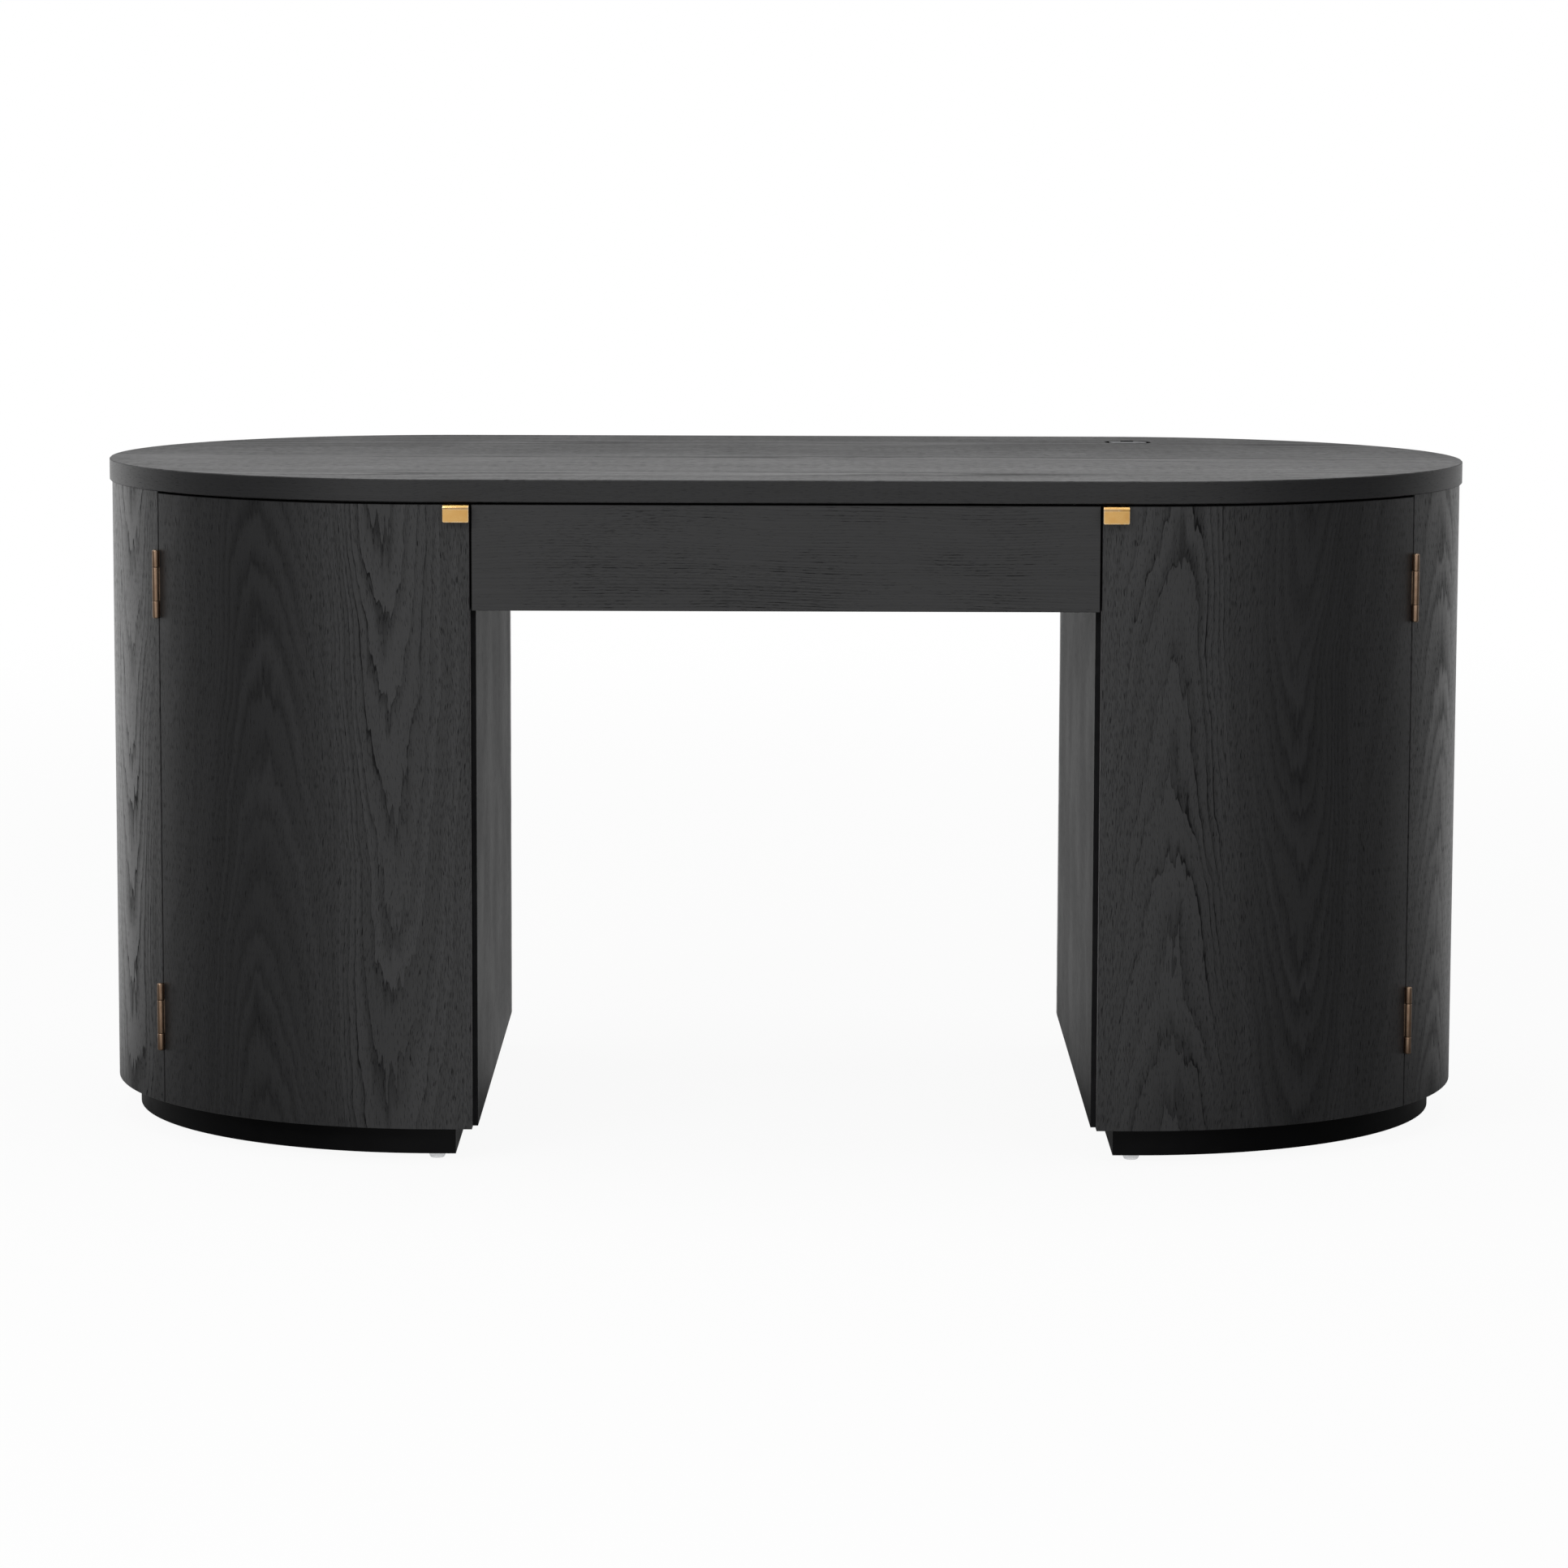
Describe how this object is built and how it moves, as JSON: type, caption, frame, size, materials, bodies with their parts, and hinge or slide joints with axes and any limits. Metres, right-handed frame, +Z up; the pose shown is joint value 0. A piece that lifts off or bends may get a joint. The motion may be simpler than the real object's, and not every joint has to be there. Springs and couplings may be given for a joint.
{
  "type": "executive desk",
  "caption": "Oval executive desk with half-round cabinets behind curved hinged doors, a central drawer, recessed plinths and a cable grommet in the top.",
  "frame": {"origin": "on the floor, under the middle of the top", "axes": "+X along the desk to the right of someone sitting at it, +Y away from that person, to the back, +Z up; the doors and the drawer face -Y"},
  "size_m": [1.5696, 0.8, 0.762],
  "materials": {
    "black_oak": "black-stained open-pore oak veneer, satin",
    "black_board": "black-stained board, matt",
    "drawer_board": "black-stained ply, matt",
    "beech": "plain turned beech",
    "brass": "satin brushed brass",
    "bronze": "aged bronze",
    "zinc_steel": "bright zinc plated",
    "black_plastic": "fine-grained black",
    "grey_plastic": "fine-grained dark grey",
    "nylon": "pale grey nylon"
  },
  "bodies": {
    "frame": {"desktop": "black_oak", "grommet_sleeve": "black_plastic", "rear_apron": "black_oak", "apron_dowels": "beech", "slide_outers": "zinc_steel", "slide_cabinet_screws": "zinc_steel", "left_side_panel": "black_oak", "left_shell": "black_oak", "left_base_panel": "black_board", "left_top_panel": "black_board", "left_shelf": "black_board", "left_shelf_pins": "zinc_steel", "left_top_screws": "zinc_steel", "left_catch": "black_plastic", "left_plinth_curve": "black_board", "left_plinth_board": "black_board", "left_glide_blocks": "black_board", "left_glides": "nylon", "left_hinge_shell_leaves": "bronze", "left_hinge_pins": "bronze", "left_hinge_shell_screws": "bronze", "right_side_panel": "black_oak", "right_shell": "black_oak", "right_base_panel": "black_board", "right_top_panel": "black_board", "right_shelf": "black_board", "right_shelf_pins": "zinc_steel", "right_top_screws": "zinc_steel", "right_catch": "black_plastic", "right_plinth_curve": "black_board", "right_plinth_board": "black_board", "right_glide_blocks": "black_board", "right_glides": "nylon", "right_hinge_shell_leaves": "bronze", "right_hinge_pins": "bronze", "right_hinge_shell_screws": "bronze"},
    "left_door": {"left_door": "black_oak", "left_door_pull": "brass", "left_pull_screws": "brass", "left_strike": "zinc_steel", "left_hinge_door_leaves": "bronze", "left_hinge_door_screws": "bronze"},
    "right_door": {"right_door": "black_oak", "right_door_pull": "brass", "right_pull_screws": "brass", "right_strike": "zinc_steel", "right_hinge_door_leaves": "bronze", "right_hinge_door_screws": "bronze"},
    "drawer": {"drawer_front": "black_oak", "drawer_left_side": "drawer_board", "drawer_right_side": "drawer_board", "drawer_box_front": "drawer_board", "drawer_box_back": "drawer_board", "drawer_bottom": "drawer_board", "drawer_front_screws": "zinc_steel", "slide_inners": "zinc_steel", "slide_box_screws": "zinc_steel"},
    "slide_middles": {"slide_middles": "zinc_steel"},
    "grommet_cap": {"grommet_cap": "grey_plastic"}
  },
  "joints": [
    {"name": "left_door_hinge", "type": "hinge", "parent": "frame", "child": "left_door", "pos_m": [-0.70862, -0.2349, 0.3855], "axis": [0, 0, -1], "range_deg": [0, 110]},
    {"name": "right_door_hinge", "type": "hinge", "parent": "frame", "child": "right_door", "pos_m": [0.70862, -0.2349, 0.3855], "axis": [0, 0, 1], "range_deg": [0, 110]},
    {"name": "drawer_slide", "type": "slide", "parent": "frame", "child": "drawer", "axis": [0, -1, 0], "range_m": [0, 0.43]},
    {"name": "slide_middle_travel", "type": "slide", "parent": "frame", "child": "slide_middles", "axis": [0, -1, 0], "range_m": [0, 0.215]},
    {"name": "grommet_cap_turn", "type": "hinge", "parent": "frame", "child": "grommet_cap", "pos_m": [0.416, 0.286, 0.7605], "axis": [0, 0, 1], "continuous": true}
  ],
  "couplings": [
    {"joint": "slide_middle_travel", "follows": "drawer_slide", "ratio": 0.5}
  ]
}
